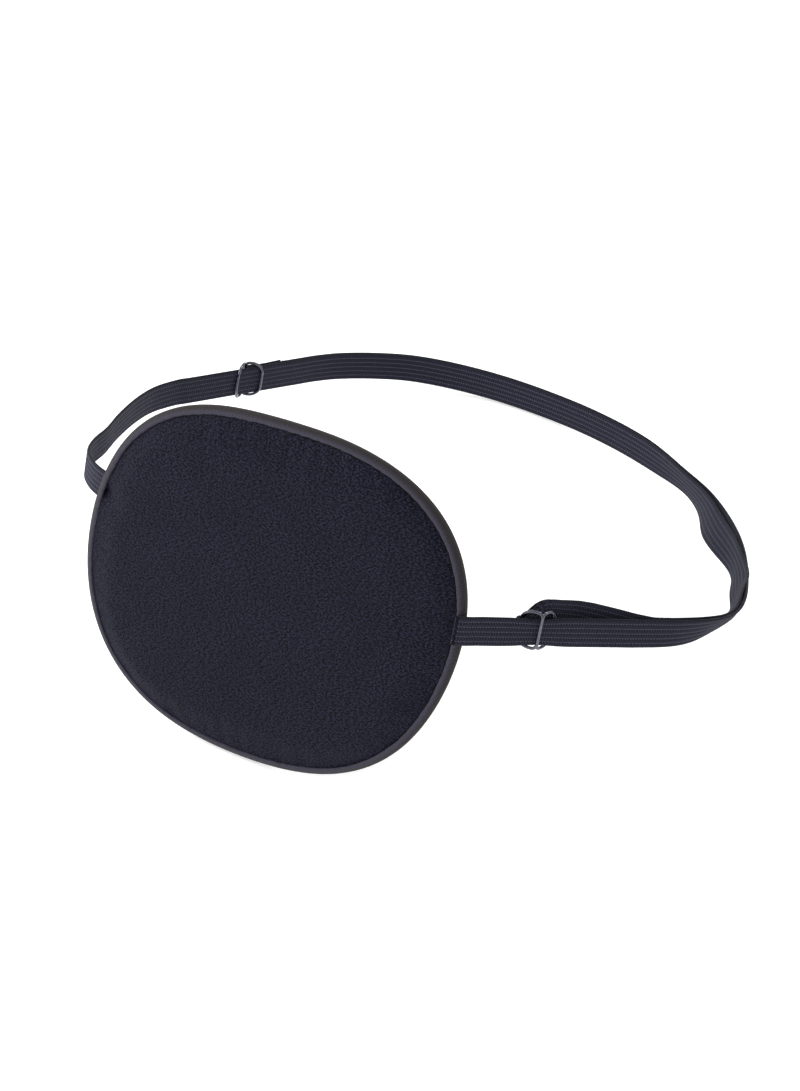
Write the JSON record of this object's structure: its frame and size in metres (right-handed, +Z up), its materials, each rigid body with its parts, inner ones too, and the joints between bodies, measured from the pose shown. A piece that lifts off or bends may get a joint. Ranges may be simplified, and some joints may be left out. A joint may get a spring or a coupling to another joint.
{
  "type": "eye patch",
  "caption": "Padded satin patch for one eye with a bound edge, worn on ribbed elastic bands that overlap round the head and adjust with wire sliders.",
  "frame": {"origin": "on the table at the middle of the footprint of the patch lying on its lower edge and the back of its strap", "axes": "+X across the patch from its left end to its right end as the viewer sees the front, +Y away from the viewer to the back of the head loop, +Z up"},
  "size_m": [0.1734, 0.162, 0.089],
  "materials": {
    "satin": "soft satin weave, dark navy black",
    "batting": "soft polyester wadding",
    "lining": "brushed cotton lining",
    "binding_tape": "fine twill bias tape",
    "thread": "polyester sewing thread",
    "elastic": "ribbed knitted elastic",
    "rubber_thread": "natural rubber strand",
    "slider_metal": "gloss gunmetal enamel on steel wire"
  },
  "bodies": {
    "patch": {"front_panel": "satin", "padding": "batting", "back_panel": "lining", "edge_binding": "binding_tape", "binding_stitches": "thread", "strap_left": "elastic", "strap_right": "elastic", "strap_left_rubber": "rubber_thread", "strap_right_rubber": "rubber_thread", "strap_left_take_up": "elastic", "strap_right_take_up": "elastic", "left_patch_tack": "thread", "right_patch_tack": "thread"},
    "left_adjuster": {"slider_left": "slider_metal", "strap_right_loop_end": "elastic", "left_loop_tack": "thread"},
    "right_adjuster": {"slider_right": "slider_metal", "strap_left_loop_end": "elastic", "right_loop_tack": "thread"}
  },
  "joints": [
    {"name": "left_slide", "type": "slide", "parent": "patch", "child": "left_adjuster", "axis": [0.3746, 0.8713, -0.3171], "range_m": [-0.015, 0.01], "deforming": ["strap_right_take_up"]},
    {"name": "right_slide", "type": "slide", "parent": "patch", "child": "right_adjuster", "axis": [0.7314, 0.6409, -0.2333], "range_m": [-0.008, 0.006], "deforming": ["strap_left_take_up"]}
  ]
}
